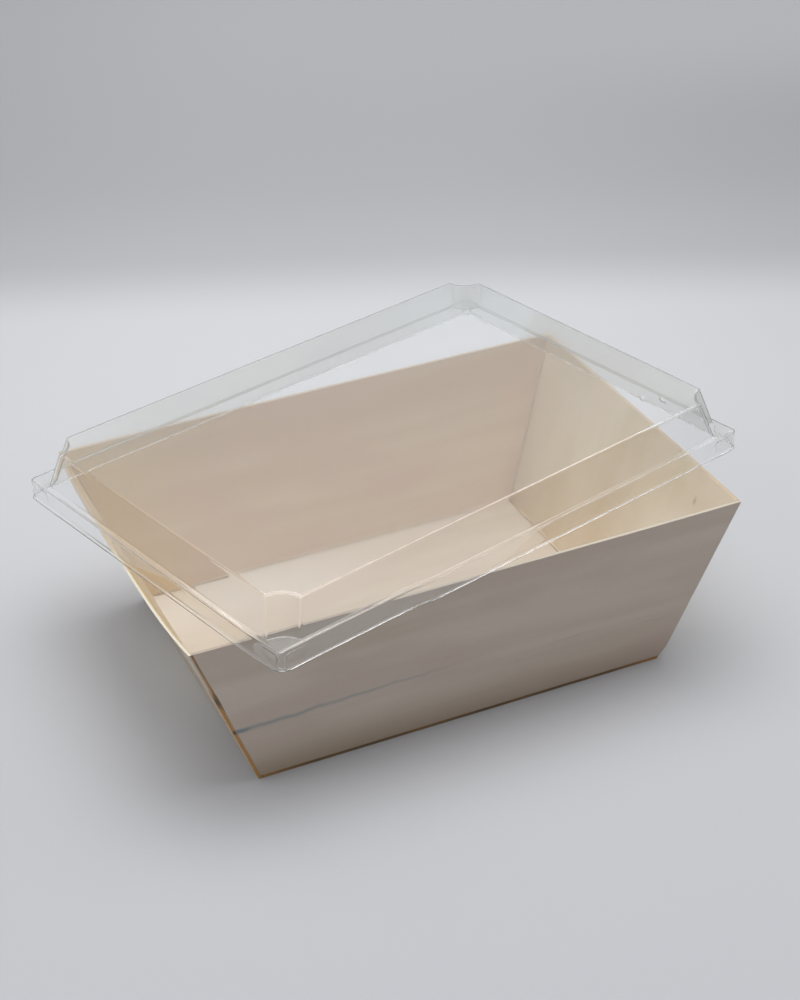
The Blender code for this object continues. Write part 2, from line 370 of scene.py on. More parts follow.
bm = bmesh.new()
cells = FLOOR_CELLS_ACROSS
bmesh.ops.create_grid(bm, x_segments=cells, y_segments=cells, size=FLOOR_REACH)
floor = add_mesh("paper_floor", bm)
floor.data.materials.append(paper_finish())
print("floor spans", 2 * FLOOR_REACH, "m")

# %% [markdown]
# The light is soft studio light. A wide softbox hangs over the set with a smaller one under it, so the
# inside is bright and the front face lies in gentle shade, and two weak ones stand at the sides. The
# smaller one isn't mirrored in the lid, so that the tray stays in view from above. The room fills the
# shadows, and only reflections and bends in clear plastic see its upper part as bright as a white
# studio. Two strips behind the set show in them too, as the fine bright lines along the lid's bends,
# and don't light matt surfaces. A colour on a level surface renders about as it is written.

# %% Light
ROOM_FILL = 0.287
ROOM_SEEN_HIGH = 0.90
ROOM_HIGH_FROM = 0.6
AIM_FLOOR = Vector((0, 0, 0))
AIM_TRAY = Vector((0, 0, 0.05))
AIM_LID = Vector((0, 0, 0.08))


def softbox(name, place, aim, width, depth, watts):
    """A rectangular area lamp at a place, turned to face a point."""
    data = bpy.data.lights.new(name, "AREA")
    data.shape = "RECTANGLE"
    data.size = width
    data.size_y = depth
    data.energy = watts
    lamp = add_object(name, data)
    turn = (Vector(place) - aim).to_track_quat("Z", "Y")
    lamp.matrix_world = Matrix.Translation(place) @ turn.to_matrix().to_4x4()
    return lamp


def studio_room():
    """A white room that fills the shadows, and that reflections and bends in plastic see brighter."""
    world = bpy.data.worlds.new("studio")
    world.use_nodes = True
    room = Tree(world.node_tree)
    upward = room.node("TexCoord", {}, {}, output="Generated").parts()[2]
    seen = upward.blend(BACKDROP_LEVEL, ROOM_SEEN_HIGH, ROOM_HIGH_FROM)
    mirrored = (room.ray("Glossy") + room.ray("Transmission")).clipped()
    strength = room.ray("Camera").blend(mirrored.blend(ROOM_FILL, seen), BACKDROP_LEVEL)
    room.feed(room.tree.nodes["Background"], {"Color": ROOM_COLOUR, "Strength": strength})
    return world


softbox("wide_overhead", (0.05, 0.10, 1.30), AIM_FLOOR, width=1.6, depth=1.2, watts=11.5)
small_overhead = softbox("small_overhead", (0.10, 0.10, 1.20), AIM_FLOOR, width=0.8, depth=0.6, watts=2.9)
softbox("left_side", (-1.10, 0.10, 0.70), AIM_TRAY, width=0.7, depth=0.7, watts=1.9)
softbox("right_side", (1.10, 0, 0.60), AIM_TRAY, width=0.7, depth=0.7, watts=1.1)
back_strip = softbox("back_strip", (0.42, 0.66, 0.94), AIM_LID, width=0.75, depth=0.26, watts=3.0)
left_strip = softbox("left_strip", (-0.14, 0.77, 0.93), AIM_LID, width=0.55, depth=0.24, watts=0.45)
small_overhead.visible_glossy = False
back_strip.visible_diffuse = False
left_strip.visible_diffuse = False
bpy.context.scene.world = studio_room()
bpy.context.scene.view_settings.view_transform = "Standard"

# %% [markdown]
# Veneer is peeled from the log as a long ribbon, so its figure is stretched along the grain: broad
# pale bands, fine fibres, short dark pores, and slow patches of pink and yellow. Each is one noise
# whose coordinates are squeezed across the grain. The tones stay close together, as on clean poplar.

# %% Veneer finish
ALONG_X = 0
ALONG_Y = 1
ALONG_Z = 2
# Each figure: lumps per metre along the grain and across it, then the noise's detail and roughness.
DRIFT = (9, 22, 2.0, 0.5)
BANDS = (5, 75, 3.0, 0.55)
FIBRES = (40, 1500, 2.0, 0.6)
PORES = (260, 3800, 1.0, 0.5)
PATCHES = (16, 40, 2.0, 0.6)
DRIFT_REACH = 0.006
SEED_SHARES = (1, 0.7, 1.3)
BAND_SPAN = (0.32, 0.68)
BAND_SHARE = 0.72
BLUSH_SPAN = (0.42, 0.66)
BLUSH_SHARE = 0.85
PORE_SPAN = (0.66, 0.80)
PORE_SHARE = 0.30
PORE_DARK_SHARE = 0.62
FIBRE_HEIGHT = 0.7
PORE_DEPTH = 0.8
BAND_HEIGHT = 0.4
WOOD_BUMP = (0.35, 0.00012)
WOOD_ROUGHNESS = 0.56
FIBRE_ROUGHNESS = 0.12
PATCH_ROUGHNESS = 0.06
WOOD_SHINE = 0.2


def veneer(name, grain_axis, cross_axis, tones, seed):
    """A sheet of veneer. Returns the finish and its colour, so that marks can be laid over it."""
    pale, deep, blush = tones
    wood = Finish(name)

    def figure(point, along, across, detail, roughness):
        factors = [across] * 3
        factors[grain_axis] = along
        return wood.grain(point.scaled(factors), detail, roughness)

    place = wood.place().shifted([seed * share for share in SEED_SHARES])
    push = [0.0, 0.0, 0.0]
    push[cross_axis] = DRIFT_REACH
    drift = figure(place, *DRIFT) - 0.5
    bent = place.shifted(wood.node("VectorMath", {"operation": "SCALE"}, {0: push, "Scale": drift}))
    bands = figure(bent, *BANDS)
    fibres = figure(bent, *FIBRES)
    patches = figure(place, *PATCHES)
    tone = (bands.ramp(*BAND_SPAN) * BAND_SHARE + fibres * (1 - BAND_SHARE)).clipped()
    colour = wood.mix(tone, pale, deep)
    colour = wood.mix(patches.ramp(*BLUSH_SPAN) * BLUSH_SHARE, colour, blush)
    pores = figure(bent, *PORES).ramp(*PORE_SPAN) * PORE_SHARE
    colour = wood.mix(pores, colour, [c * PORE_DARK_SHARE for c in deep])
    height = fibres * FIBRE_HEIGHT - pores * PORE_DEPTH + bands * BAND_HEIGHT
    roughness = WOOD_ROUGHNESS + fibres * FIBRE_ROUGHNESS + patches * PATCH_ROUGHNESS
    inputs = {"Roughness": roughness, "Normal": wood.bump(height, *WOOD_BUMP)}
    wood.feed(wood.shader, {**inputs, "Specular IOR Level": WOOD_SHINE})
    return wood, colour


print("veneer finish ready")

# %% [markdown]
# The five panels come from sheets of like wood. Each sheet has three tones: pale, deep, and the blush
# of its slow patches. The front is the coolest, and its tones are darker than the inner walls' though
# the wood is the same: painted shade on a face that the lamps barely reach. Its foot is painted darker
# and browner still, as painted shade near the paper. It carries a grey mineral streak along the grain:
# a soft band with a fine dark line in it, dark at its left end and fading to the right, with two
# short late ones beyond.

# %% Front finish
# Painted shade: the front's tones are darker than the inner walls'.
FRONT_TONES = ((0.665, 0.575, 0.495), (0.575, 0.485, 0.40), (0.605, 0.495, 0.43))
FRONT_FOOT_SHADE = (0.47, 0.37, 0.27)
FOOT_TOP = 0.022
FOOT_SPAN = (0.078, -0.010)
FOOT_SHARES = (0.36, 0.34)
STREAK_GREY = (0.26, 0.30, 0.30)
STREAK_LEFT = -0.0865
STREAK_RIGHT = -0.002
STREAK_HEIGHT = 0.0251
STREAK_CLIMB = 0.023
STREAK_END_SPAN = (0.010, -0.022)
STREAK_SOFT_HALVES = (0.0021, 0.0010)
STREAK_SOFT_SHARES = (0.20, 0.34)
STREAK_FINE_HALF = 0.00060
STREAK_FINE_SHARES = (0.12, 0.16)
WANDERS_PER_METRE = (85, 1, 1)
WANDER = 0.0026
BREAKS_PER_METRE = (130, 1, 500)
BREAK_SPAN = (0.32, 0.60)
BREAK_SHARE = 0.6
PATCH_PLACE = (-0.0835, 0.0055)
PATCH_HEIGHT_HALF = 0.0014
PATCH_SHARE = 0.75
LATE_STREAKS = ((0.040, 0.0235, 0.016), (0.071, 0.0203, 0.012))
LATE_STREAK_HALF = 0.0006
LATE_STREAK_SHARE = 0.20


def streak_mask(wood):
    """The front's mineral streak: a soft band, a fine dark line in it, and a dark patch at its start."""
    x, y, z = wood.place().parts()
    z = z - (wood.grain(wood.place().scaled(WANDERS_PER_METRE)) - 0.5) * WANDER
    off = (z - x * STREAK_CLIMB - (STREAK_HEIGHT - STREAK_LEFT * STREAK_CLIMB)).size()
    fade = x.ramp(STREAK_RIGHT, STREAK_LEFT)
    broad, narrow = STREAK_SOFT_HALVES
    low, more = STREAK_SOFT_SHARES
    soft = (off / (fade * (broad - narrow) + narrow)).ramp(1.0, 0.0) * (fade * more + low)
    broken = wood.grain(wood.place().scaled(BREAKS_PER_METRE)).ramp(*BREAK_SPAN)
    low, more = STREAK_FINE_SHARES
    fine = off.ramp(STREAK_FINE_HALF, 0.0) * (fade * more + low)
    fine = fine * (broken * BREAK_SHARE + (1 - BREAK_SHARE))
    patch = x.hump(*PATCH_PLACE) * off.ramp(PATCH_HEIGHT_HALF, 0.0) * PATCH_SHARE
    mask = (soft + fine) * x.ramp(*STREAK_END_SPAN) + patch
    for along, height, reach in LATE_STREAKS:
        mask = mask + x.hump(along, reach) * z.hump(height, LATE_STREAK_HALF) * LATE_STREAK_SHARE
    return mask.clipped()


def front_finish():
    wood, colour = veneer("front_veneer", ALONG_X, ALONG_Z, FRONT_TONES, seed=3.1)
    x, y, z = wood.place().parts()
    # Painted shade: darker and browner towards the foot, most at the left and middle.
    low, more = FOOT_SHARES
    foot = z.ramp(FOOT_TOP, 0.0) * (low + x.ramp(*FOOT_SPAN) * more)
    colour = wood.mix(foot, colour, FRONT_FOOT_SHADE)
    return wood.finished({"Base Color": wood.mix(streak_mask(wood), colour, STREAK_GREY)})


FACE_FINISHES = {"front_panel": front_finish()}
print("streak of", round(STREAK_RIGHT - STREAK_LEFT, 4), "m on the front")

# %% [markdown]
# The end walls were cut with the grain upright, and their tones are set lighter than the front's:
# painted light. The right one is painted lighter towards the front and its foot and duller towards
# the back, as painted light and shade, and has a small dark fleck. The left one is golden inside, with
# painted light at its foot, painted dull shade above, and painted shade most golden along its rim.
# Outside it is greyer and darker, as painted shade that is darkest at the foot. A layer is a tone, the
# places between which it comes in, and its share.

# %% End wall finishes
# Painted light: the end walls' tones are set lighter than the front's.
RIGHT_TONES = ((0.82, 0.72, 0.575), (0.74, 0.625, 0.455), (0.79, 0.67, 0.53))
RIGHT_PAINTED_LIGHT = (0.98, 0.915, 0.785)
RIGHT_LIGHT_SPAN = (0.000, -0.055)
RIGHT_LIGHT_HEIGHTS = (0.056, 0.036)
RIGHT_LIGHT_LOW_SHARE = 0.30
RIGHT_PAINTED_SHADE = ((0.62, 0.53, 0.42), (0.010, 0.060), 0.6)
FLECK_BROWN = (0.36, 0.27, 0.17)
FLECK_ALONG = (-0.0485, 0.0012)
FLECK_UP = (0.0545, 0.0021)
FLECK_SHARE = 0.48
LEFT_TONES = ((0.84, 0.71, 0.51), (0.76, 0.61, 0.40), (0.80, 0.635, 0.53))
LEFT_PAINTED_LIGHT = ((0.96, 0.84, 0.67), (0.046, 0.020), 0.9)
LEFT_PAINTED_SHADE = ((0.64, 0.54, 0.38), (0.038, 0.058), 0.5)
LEFT_SHADED_BAND = ((0.72, 0.53, 0.28), (0.0595, 0.0640), 0.7)
LEFT_OUTSIDE = (0.53, 0.485, 0.43)
LEFT_FOOT_SHADE = (0.50, 0.445, 0.385)
OUTSIDE_HEIGHTS = (0.034, 0.058)
OUTSIDE_SHARE = 0.6
INSIDE_SPAN = (-0.2, 0.2)


def right_finish():
    wood, colour = veneer("right_end_veneer", ALONG_Z, ALONG_Y, RIGHT_TONES, seed=7.7)
    x, y, z = wood.place().parts()
    # Painted light towards the front and the foot, and painted shade towards the back.
    light = z.ramp(*RIGHT_LIGHT_HEIGHTS) * (1 - RIGHT_LIGHT_LOW_SHARE) + RIGHT_LIGHT_LOW_SHARE
    colour = wood.mix(y.ramp(*RIGHT_LIGHT_SPAN) * light, colour, RIGHT_PAINTED_LIGHT)
    colour = wood.laid(colour, y, *RIGHT_PAINTED_SHADE)
    fleck = y.hump(*FLECK_ALONG) * z.hump(*FLECK_UP) * FLECK_SHARE
    return wood.finished({"Base Color": wood.mix(fleck, colour, FLECK_BROWN)})


def left_finish():
    wood, colour = veneer("left_end_veneer", ALONG_Z, ALONG_Y, LEFT_TONES, seed=5.3)
    x, y, z = wood.place().parts()
    # Outside: painted shade, darkest at the foot.
    outside = wood.mix(OUTSIDE_SHARE, colour, wood.laid(LEFT_FOOT_SHADE, z, LEFT_OUTSIDE, OUTSIDE_HEIGHTS))
    inside = colour
    # Inside: painted light at the foot, painted shade above and along the rim.
    for layer in (LEFT_PAINTED_LIGHT, LEFT_PAINTED_SHADE, LEFT_SHADED_BAND):
        inside = wood.laid(inside, z, *layer)
    inward = wood.facing().parts()[0].ramp(*INSIDE_SPAN)
    return wood.finished({"Base Color": wood.mix(inward, outside, inside)})


FACE_FINISHES.update({"left_end_panel": left_finish(), "right_end_panel": right_finish()})
print("face finishes:", len(FACE_FINISHES))

# %% [markdown]
# The back wall's tones are set lighter than the front's, as painted light. It is pink in the middle
# and turns golden towards its left end. The floor is greyer and darker than the walls, and a little
# lighter towards its left back corner.

# %% Back and floor finishes
# Painted light: the back's tones are set lighter than the front's.
BACK_TONES = ((0.85, 0.72, 0.595), (0.765, 0.615, 0.475), (0.80, 0.635, 0.53))
BACK_GOLD = ((0.80, 0.665, 0.475), (-0.045, -0.090), 0.8)
FLOOR_TONES = ((0.70, 0.62, 0.53), (0.63, 0.545, 0.455), (0.66, 0.56, 0.485))
FLOOR_LIGHT = (0.77, 0.71, 0.635)
FLOOR_LIGHT_SPAN = (0.030, -0.060)
FLOOR_LIGHT_DEPTHS = (0.010, 0.048)
FLOOR_LIGHT_SHARE = 0.9


def back_finish():
    wood, colour = veneer("back_veneer", ALONG_X, ALONG_Z, BACK_TONES, seed=1.9)
    return wood.finished({"Base Color": wood.laid(colour, wood.place().parts()[0], *BACK_GOLD)})


def floor_finish():
    wood, colour = veneer("floor_veneer", ALONG_X, ALONG_Y, FLOOR_TONES, seed=9.4)
    x, y, z = wood.place().parts()
    light = x.ramp(*FLOOR_LIGHT_SPAN) * y.ramp(*FLOOR_LIGHT_DEPTHS) * FLOOR_LIGHT_SHARE
    return wood.finished({"Base Color": wood.mix(light, colour, FLOOR_LIGHT)})


FACE_FINISHES.update({"back_panel": back_finish(), "bottom_panel": floor_finish()})
print("face finishes:", len(FACE_FINISHES))

# %% [markdown]
# The cut edges look different from the faces, and show fine lines of open grain. The rims were
# trimmed with a blade. The front one is cream and darker at its left, the back one is tan, and the
# right one is orange outside and tan inside. The left one is golden and duller at the back, with an
# outer half that is nearly white towards the front.

# %% Rim finishes
RIM_CREAM = (0.62, 0.545, 0.45)
RIM_WHITE = (0.76, 0.72, 0.63)
RIM_TAN = (0.55, 0.45, 0.34)
RIM_ORANGE = (0.59, 0.45, 0.30)
RIM_GOLD = (0.62, 0.45, 0.25)
RIM_SHADE = (0.50, 0.42, 0.345)
STAINS_PER_METRE = 34
LINES_PER_METRE = 1100
LINE_SHARE = 0.3
CUT_BUMP = (0.4, 0.0001)
CUT_ROUGHNESS = 0.62
LINE_ROUGHNESS = 0.15
BACK_BLOTCH_SPAN = (0.4, 0.7)
BACK_BLOTCH_SHARE = 0.5
RIM_SPLIT = (0.62, 0.85)
FRONT_RIM_PALES = (-0.055, 0.045)
LEFT_RIM_PALES = (0.012, -0.018)
LEFT_RIM_DULLS = (0.000, 0.025)


def end_rim_depth(x, y, bow):
    """How deep in an end wall a point of its rim is, from 0 at the outer face to 1 at the inner one."""
    share = y / RIM_HALF_WIDTH
    square = share * share
    return (RIM_HALF_LENGTH + (1 - square * square) * bow - x.size()) / END_THROUGH


def cut_grain(edge, light, dark, blotch):
    """Fine lines of open grain over two tones, on Base Color, Roughness and Normal."""
    lines = edge.lumps(LINES_PER_METRE)
    colour = edge.mix((blotch + (lines - 0.5) * LINE_SHARE).clipped(), light, dark)
    roughness = CUT_ROUGHNESS + lines * LINE_ROUGHNESS
    bump = edge.bump(lines, *CUT_BUMP)
    return edge.finished({"Base Color": colour, "Roughness": roughness, "Normal": bump})


def back_rim_finish():
    """The back rim: tan, with slow blotches along it."""
    edge = Finish("back_rim")
    blotch = edge.lumps(STAINS_PER_METRE).ramp(*BACK_BLOTCH_SPAN) * BACK_BLOTCH_SHARE
    return cut_grain(edge, RIM_TAN, RIM_SHADE, blotch)


def right_rim_finish():
    """The right rim: orange outside and tan inside."""
    edge = Finish("right_rim")
    x, y, z = edge.place().parts()
    return cut_grain(edge, RIM_ORANGE, RIM_TAN, end_rim_depth(x, y, RIGHT_BOW).ramp(*RIM_SPLIT))


def front_rim_finish():
    """The front rim: cream at the right and darker at the left."""
    edge = Finish("front_rim")
    return cut_grain(edge, RIM_SHADE, RIM_CREAM, edge.place().parts()[0].ramp(*FRONT_RIM_PALES))


def left_rim_finish():
    """The left rim: golden, with a nearly white outer half towards the front."""
    edge = Finish("left_rim")
    x, y, z = edge.place().parts()
    inner = edge.mix(y.ramp(*LEFT_RIM_DULLS), RIM_GOLD, RIM_SHADE)
    outer = edge.mix(y.ramp(*LEFT_RIM_PALES), inner, RIM_WHITE)
    return cut_grain(edge, outer, inner, end_rim_depth(x, y, LEFT_BOW).ramp(*RIM_SPLIT))


RIMS = {
    "front_panel": front_rim_finish(),
    "back_panel": back_rim_finish(),
    "left_end_panel": left_rim_finish(),
    "right_end_panel": right_rim_finish(),
}
print("rim finishes:", len(RIMS))

# %% [markdown]
# The upright ends and the floor's edges are golden brown, where heat and glue have stained the wood,
# with dark stretches: the other cuts have random stains, and the floor's edges are darker in their
# middle. The left wall's near cut is the one that shows most, so its marks are placed one by one: a
# pale outer skin at the top, painted shade half way up where the slit between the walls is, and gold
# below.

# %% Cut finishes
STAIN_GOLD = (0.52, 0.27, 0.085)
STAIN_DARK = (0.125, 0.085, 0.045)
STAIN_SPAN = (0.40, 0.62)
STAIN_SHIFT = (2.9, 2.2, 2.2)
END_TAPER = (RIM_HALF_LENGTH - BASE_HALF_LENGTH) / TRAY_HEIGHT
SKIN_SPLIT = (0.60, 0.40)
SKIN_FADE = (0.040, 0.052)
SLIT_SHADE_PLACE = (0.042, 0.0065)
SLIT_SHADE_SHARE = 0.9
SPOT_PLACE = (0.0252, 0.0017)
TOP_STAIN_SPAN = (0.046, 0.062)
TOP_STAIN_SHARE = 0.45
FLOOR_EDGE_DARK = (0.083, 0.055)
FLOOR_EDGE_SHARE = 0.8
FLOOR_WANDER_SHARE = 0.9


def left_cut_finish():
    edge = Finish("left_cut")
    x, y, z = edge.place().parts()
    depth = (z * END_TAPER + BASE_HALF_LENGTH - x.size()) / END_THROUGH
    skin = depth.ramp(*SKIN_SPLIT) * z.ramp(*SKIN_FADE)
    # Painted shade half way up, where the slit between the walls is.
    dark = z.hump(*SLIT_SHADE_PLACE) * SLIT_SHADE_SHARE + z.hump(*SPOT_PLACE)
    dark = dark + z.ramp(*TOP_STAIN_SPAN) * TOP_STAIN_SHARE
    return cut_grain(edge, edge.mix(skin, STAIN_GOLD, LEFT_OUTSIDE), STAIN_DARK, dark * (1 - skin))


def floor_edge_finish():
    """The floor's cut edges: golden at the ends, and dark between."""
    edge = Finish("floor_cut")
    dark = edge.place().parts()[0].size().ramp(*FLOOR_EDGE_DARK) * FLOOR_EDGE_SHARE
    wander = (edge.lumps(STAINS_PER_METRE) - 0.5) * FLOOR_WANDER_SHARE
    return cut_grain(edge, STAIN_GOLD, STAIN_DARK, dark + wander)


def stained_finish():
    """Every other cut: golden, with dark stains here and there."""
    edge = Finish("stained_cut")
    place = edge.place().shifted(STAIN_SHIFT).scaled((STAINS_PER_METRE,) * 3)
    return cut_grain(edge, STAIN_GOLD, STAIN_DARK, edge.grain(place).ramp(*STAIN_SPAN))


CUT_BROWN = stained_finish()
CUTS = {"left_end_panel": left_cut_finish(), "bottom_panel": floor_edge_finish()}
RIMS["bottom_panel"] = CUTS["bottom_panel"]
print("cut finishes:", 1 + len(CUTS))

# %% [markdown]
# A panel is a box whose corners a formula moves: every vertex of a finely cut unit block is mapped to
# a place along the wall, through it and up it. The faces know which side of the block they came from,
# so the right edge finish goes on before the mapping. A small bevel then rounds the cut edges.

# %% Panel builder
BOW_POWER = 4
BOW_RISE_POWER = 4
HOLLOW_SHARE = 0.25
EDGE_ROUND = 0.00014
EDGE_ROUND_STEPS = 2
EDGE_ANGLE = math.radians(40)
RIPPLE = 0.00012
RIPPLES_PER_METRE = 32
FACE_SLOT = 0
CUT_SLOT = 1
RIM_SLOT = 2


def cut_block(cells):
    """A unit block cut into cells along its X, Y and Z, with a material slot for each side."""
    bm = bmesh.new()
    bmesh.ops.create_cube(bm, size=1)
    bm.normal_update()
    for face in bm.faces:
        if abs(face.normal.y) > 1 / 2:
            face.material_index = FACE_SLOT
        elif face.normal.z > 1 / 2:
            face.material_index = RIM_SLOT
        else:
            face.material_index = CUT_SLOT
    for axis, count in enumerate(cells):
        others = [k for k in (0, 1, 2) if k != axis]
        edges = []
        for edge in bm.edges:
            step = edge.verts[1].co - edge.verts[0].co
            if max(abs(step[others[0]]), abs(step[others[1]])) < abs(step[axis]):
                edges.append(edge)
        if count > 1:
            bmesh.ops.subdivide_edges(bm, edges=edges, cuts=count - 1, use_grid_fill=True)
    return bm


def ripple(along, up, seed):
    """How far the thin sheet lies inside its true plane, in soft waves."""
    where = Vector((along * RIPPLES_PER_METRE, up * RIPPLES_PER_METRE, seed))
    return RIPPLE * (1 + noise.noise(where)) / 2


def bow_at(bow, middle_share, z):
    """Bow of a wall. The sheet flares near its rim, where nothing stiffens it, and hollows below."""
    up = z / TRAY_HEIGHT
    flare = up ** BOW_RISE_POWER - HOLLOW_SHARE * math.sin(math.pi * up)
    return bow * flare * (1 - abs(middle_share) ** BOW_POWER)


def add_panel(name, cells, mapped):
    """Builds one panel by mapping a cut block, and puts it in place of its CAD node."""
    bm = cut_block(cells)
    for vert in bm.verts:
        vert.co = mapped(*(c + 1 / 2 for c in vert.co))
    piece = add_mesh(name + "_sheet", bm)
    piece.data.shade_smooth()
    piece.data.set_sharp_from_angle(angle=EDGE_ANGLE)
    for finish in (FACE_FINISHES[name], CUTS.get(name, CUT_BROWN), RIMS[name]):
        piece.data.materials.append(finish)
    bevel = piece.modifiers.new("rounded_cuts", "BEVEL")
    bevel.width = EDGE_ROUND
    bevel.segments = EDGE_ROUND_STEPS
    bevel.limit_method = "ANGLE"
    bevel.angle_limit = EDGE_ANGLE
    bevel.harden_normals = True
    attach(piece, "tray")
    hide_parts(name)
    return piece


print("panel builder ready")

# %% [markdown]
# The four walls meet like a pinwheel: each one butts against its neighbour at one end and laps over
# the next at the other. The front wall's lower right corner is nicked, and its left end stands a
# little off the end wall half way up, where the photograph shows a dark slit. Opposite walls are the
# same shape turned half way round, so one mapping serves both.

# %% Walls and floor
NICK = 0.0018
NICK_HEIGHT = 0.0030
SLIT = 0.00030
SLIT_HEIGHT = 0.0415
SLIT_HALF = 0.0085
WALL_FOOT = VENEER + SEAM
LONG_CELLS = (100, 1, 34)
END_CELLS = (70, 1, 34)
FLOOR_CELLS = (40, 1, 30)


def turned_about(point, turned):
    return Vector((-point.x, -point.y, point.z)) if turned else point


def long_wall(bow, turned, seed, nick, slit):
    """Maps along, through and up to the front wall, or to the back wall if turned."""
    def mapped(along, inward, up):
        z = WALL_FOOT + (TRAY_HEIGHT - WALL_FOOT) * up
        gap = slit * max(0.0, 1 - abs(z - SLIT_HEIGHT) / SLIT_HALF)
        start = -(half_length(z) - END_THROUGH - SEAM) + gap
        end = half_length(z) - nick * max(0.0, 1 - (z - WALL_FOOT) / NICK_HEIGHT)
        x = start + (end - start) * along
        out = half_width(z) + bow_at(bow, x / half_length(z), z) - SIDE_THROUGH * inward
        return turned_about(Vector((x, ripple(x, z, seed) - out, z)), turned)
    return mapped


def end_wall(bow, turned, seed):
    """Maps along, through and up to the left end wall, or to the right one if turned."""
    def mapped(along, inward, up):
        z = TRAY_HEIGHT * up
        lap = -half_width(z)
        butt = half_width(z) - SIDE_THROUGH - SEAM
        y = butt + (lap - butt) * along
        out = half_length(z) + bow_at(bow, y / half_width(z), z) - END_THROUGH * inward
        return turned_about(Vector((ripple(y, z, seed) - out, y, z)), turned)
    return mapped


def floor_sheet(along, inward, up):
    """The floor lies flat, so up runs across it and inward runs down through it."""
    reach = half_length(0) - END_THROUGH - SEAM
    return Vector(((2 * along - 1) * reach, (2 * up - 1) * BASE_HALF_WIDTH, VENEER * (1 - inward)))


tray_pieces = [
    add_panel("front_panel", LONG_CELLS, long_wall(FRONT_BOW, False, 1, NICK, SLIT)),
    add_panel("back_panel", LONG_CELLS, long_wall(BACK_BOW, True, 2, 0, 0)),
    add_panel("left_end_panel", END_CELLS, end_wall(LEFT_BOW, False, 3)),
    add_panel("right_end_panel", END_CELLS, end_wall(RIGHT_BOW, True, 4)),
    add_panel("bottom_panel", FLOOR_CELLS, floor_sheet),
]
print("panels:", [p.name for p in tray_pieces])

# %% [markdown]
# Thin lines of glue hold the panels together inside. A real line of glue is a flattened fillet of
# uneven width. A tube along the seam, sunk a little into the corner and swelling and shrinking by a
# slow noise, shows as such a fillet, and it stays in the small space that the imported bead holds.

# %% Glue lines
GLUE_HALF = 0.00048
GLUE_SUNK_SHARE = 0.35
GLUE_SIDES = 10
GLUE_STEPS = 60
GLUE_AMBER = (0.66, 0.55, 0.43)
GLUE_PALE = (0.71, 0.61, 0.49)
GLUE_LUMPS_PER_METRE = 420
GLUE_TONE_SPAN = (0.3, 0.7)
GLUE_BUMP = (0.4, 0.0002)
GLUE_ROUGHNESS = 0.30
GLUE_LUMP_ROUGHNESS = 0.2
GLUE_STEP_IN = SEAM + GLUE_HALF * (1 - GLUE_SUNK_SHARE)
TAPER_LENGTH_SHARE = 1 / 12
TAPER_LEAST_SHARE = 0.12
SWELL_SHARE = 0.28
SWELL_MOST_SHARE = 1.18
SWELLS = 17
BEAD_TOP_DROP = 0.0040
BEAD_END_SETBACK = 0.0016
FLOOR_BEAD_SEED = 10


def glue_finish():
    glue = Finish("set_glue")
    lumps = glue.lumps(GLUE_LUMPS_PER_METRE)
    inputs = {"Base Color": glue.mix(lumps.ramp(*GLUE_TONE_SPAN), GLUE_AMBER, GLUE_PALE)}
    inputs["Roughness"] = GLUE_ROUGHNESS + lumps * GLUE_LUMP_ROUGHNESS
    return glue.finished({**inputs, "Normal": glue.bump(lumps, *GLUE_BUMP)})


def seam_point(sign_x, sign_y, z):
    """A point just inside an inner corner of the tray at height z."""
    x = half_length(z) - END_THROUGH - GLUE_STEP_IN / math.cos(END_LEAN)
    y = half_width(z) - SIDE_THROUGH - GLUE_STEP_IN / math.cos(SIDE_LEAN)
    return Vector((sign_x * x, sign_y * y, z))


def bead_radius(share, seed):
    """Radius of a bead at a share of its length: thin at both ends, and swelling slowly between."""
    taper = min(1.0, share / TAPER_LENGTH_SHARE, (1 - share) / TAPER_LENGTH_SHARE) ** 0.5
    swell = 1 + SWELL_SHARE * noise.noise(Vector((share * SWELLS, seed, 0)))
    return GLUE_HALF * max(taper, TAPER_LEAST_SHARE) * min(swell, SWELL_MOST_SHARE)


def add_bead(name, start, end, seed):
    """An uneven tube of glue along one seam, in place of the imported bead."""
    run = end - start
    side = run.orthogonal().normalized()
    other = run.normalized().cross(side)
    bm = bmesh.new()
    rings = []
    for k in range(GLUE_STEPS + 1):
        share = k / GLUE_STEPS
        radius = bead_radius(share, seed)
        ring = []
        for j in range(GLUE_SIDES):
            angle = 2 * math.pi * j / GLUE_SIDES
            around = side * math.cos(angle) + other * math.sin(angle)
            ring.append(bm.verts.new(start + run * share + around * radius))
        rings.append(ring)
    for low, high in zip(rings, rings[1:]):
        for j in range(GLUE_SIDES):
            after = (j + 1) % GLUE_SIDES
            bm.faces.new((low[j], low[after], high[after], high[j]))
    bm.faces.new(list(reversed(rings[0])))
    bm.faces.new(rings[-1])
    piece = add_mesh(name + "_line", bm)
    piece.data.shade_smooth()
    piece.data.materials.append(GLUE)
    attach(piece, "tray")
    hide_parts(name)
    return piece


GLUE = glue_finish()
corners = {"front_left": (-1, -1), "front_right": (1, -1), "back_right": (1, 1), "back_left": (-1, 1)}
bead_low = VENEER + GLUE_STEP_IN
for number, (corner, signs) in enumerate(corners.items()):
    top = seam_point(*signs, TRAY_HEIGHT - BEAD_TOP_DROP)
    add_bead(corner + "_corner_glue", seam_point(*signs, bead_low + BEAD_END_SETBACK), top, number)
corner_signs = list(corners.values())
for number, side in enumerate(("front", "right", "back", "left")):
    start = seam_point(*corner_signs[number], bead_low)
    end = seam_point(*corner_signs[(number + 1) % len(corner_signs)], bead_low)
    setback = (end - start).normalized() * BEAD_END_SETBACK
    add_bead(side + "_floor_glue", start + setback, end - setback, number + FLOOR_BEAD_SEED)
print("glue lines:", 2 * len(corners))

